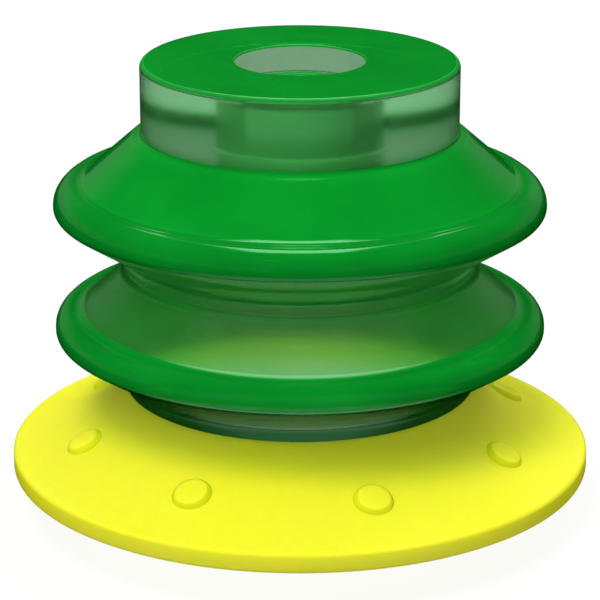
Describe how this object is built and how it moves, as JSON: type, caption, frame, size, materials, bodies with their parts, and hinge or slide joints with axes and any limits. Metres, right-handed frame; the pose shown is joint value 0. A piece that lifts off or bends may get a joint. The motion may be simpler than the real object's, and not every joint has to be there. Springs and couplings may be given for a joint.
{
  "type": "bellows suction cup",
  "caption": "Round bellows suction cup with a stepped neck bore, stiff folded rings joined by thin bending walls, and a soft flared lip with domed studs.",
  "frame": {"origin": "on the cup's axis, in the plane of the lip's flat land, which is the plane that it grips or stands on", "axes": "+Z along the cup's axis, from the lip to the neck; -Y is the side that faces the camera"},
  "size_m": [0.038, 0.038, 0.027],
  "materials": {
    "green_urethane": "glossy translucent moulded urethane, firm",
    "yellow_urethane": "satin translucent moulded urethane, soft"
  },
  "bodies": {
    "neck": {"neck_collar": "green_urethane", "shoulder_wall": "green_urethane"},
    "upper_fold": {"upper_bead": "green_urethane", "upper_under_wall": "green_urethane"},
    "waist": {"waist_ring": "green_urethane", "lower_top_wall": "green_urethane"},
    "lower_fold": {"lower_bead": "green_urethane", "lower_under_wall": "green_urethane"},
    "foot": {"foot_collar": "green_urethane", "lip_root": "yellow_urethane"},
    "lip": {"lip_skirt": "yellow_urethane"}
  },
  "joints": [
    {"name": "shoulder_rock", "type": "hinge", "parent": "neck", "child": "upper_fold", "pos_m": [0, 0, 0.02048], "axis": [0, 1, 0], "range_deg": [-6, 6], "stiffness_Nm_per_rad": 0.1, "deforming": ["shoulder_wall"]},
    {"name": "upper_under_fold", "type": "slide", "parent": "upper_fold", "child": "waist", "axis": [0, 0, 1], "range_m": [0, 0.0022], "stiffness_N_per_m": 3000, "deforming": ["upper_under_wall"]},
    {"name": "lower_top_fold", "type": "slide", "parent": "waist", "child": "lower_fold", "axis": [0, 0, 1], "range_m": [0, 0.0022], "stiffness_N_per_m": 3000, "deforming": ["lower_top_wall"]},
    {"name": "lower_under_fold", "type": "slide", "parent": "lower_fold", "child": "foot", "axis": [0, 0, 1], "range_m": [0, 0.0022], "stiffness_N_per_m": 3000, "deforming": ["lower_under_wall"]},
    {"name": "lip_rock", "type": "hinge", "parent": "foot", "child": "lip", "pos_m": [0, 0, 0.00475], "axis": [1, 0, 0], "range_deg": [-6, 6], "stiffness_Nm_per_rad": 0.06, "deforming": ["lip_root"]}
  ],
  "couplings": [
    {"joint": "upper_under_fold", "follows": "lower_under_fold", "ratio": 1},
    {"joint": "lower_top_fold", "follows": "lower_under_fold", "ratio": 1}
  ]
}
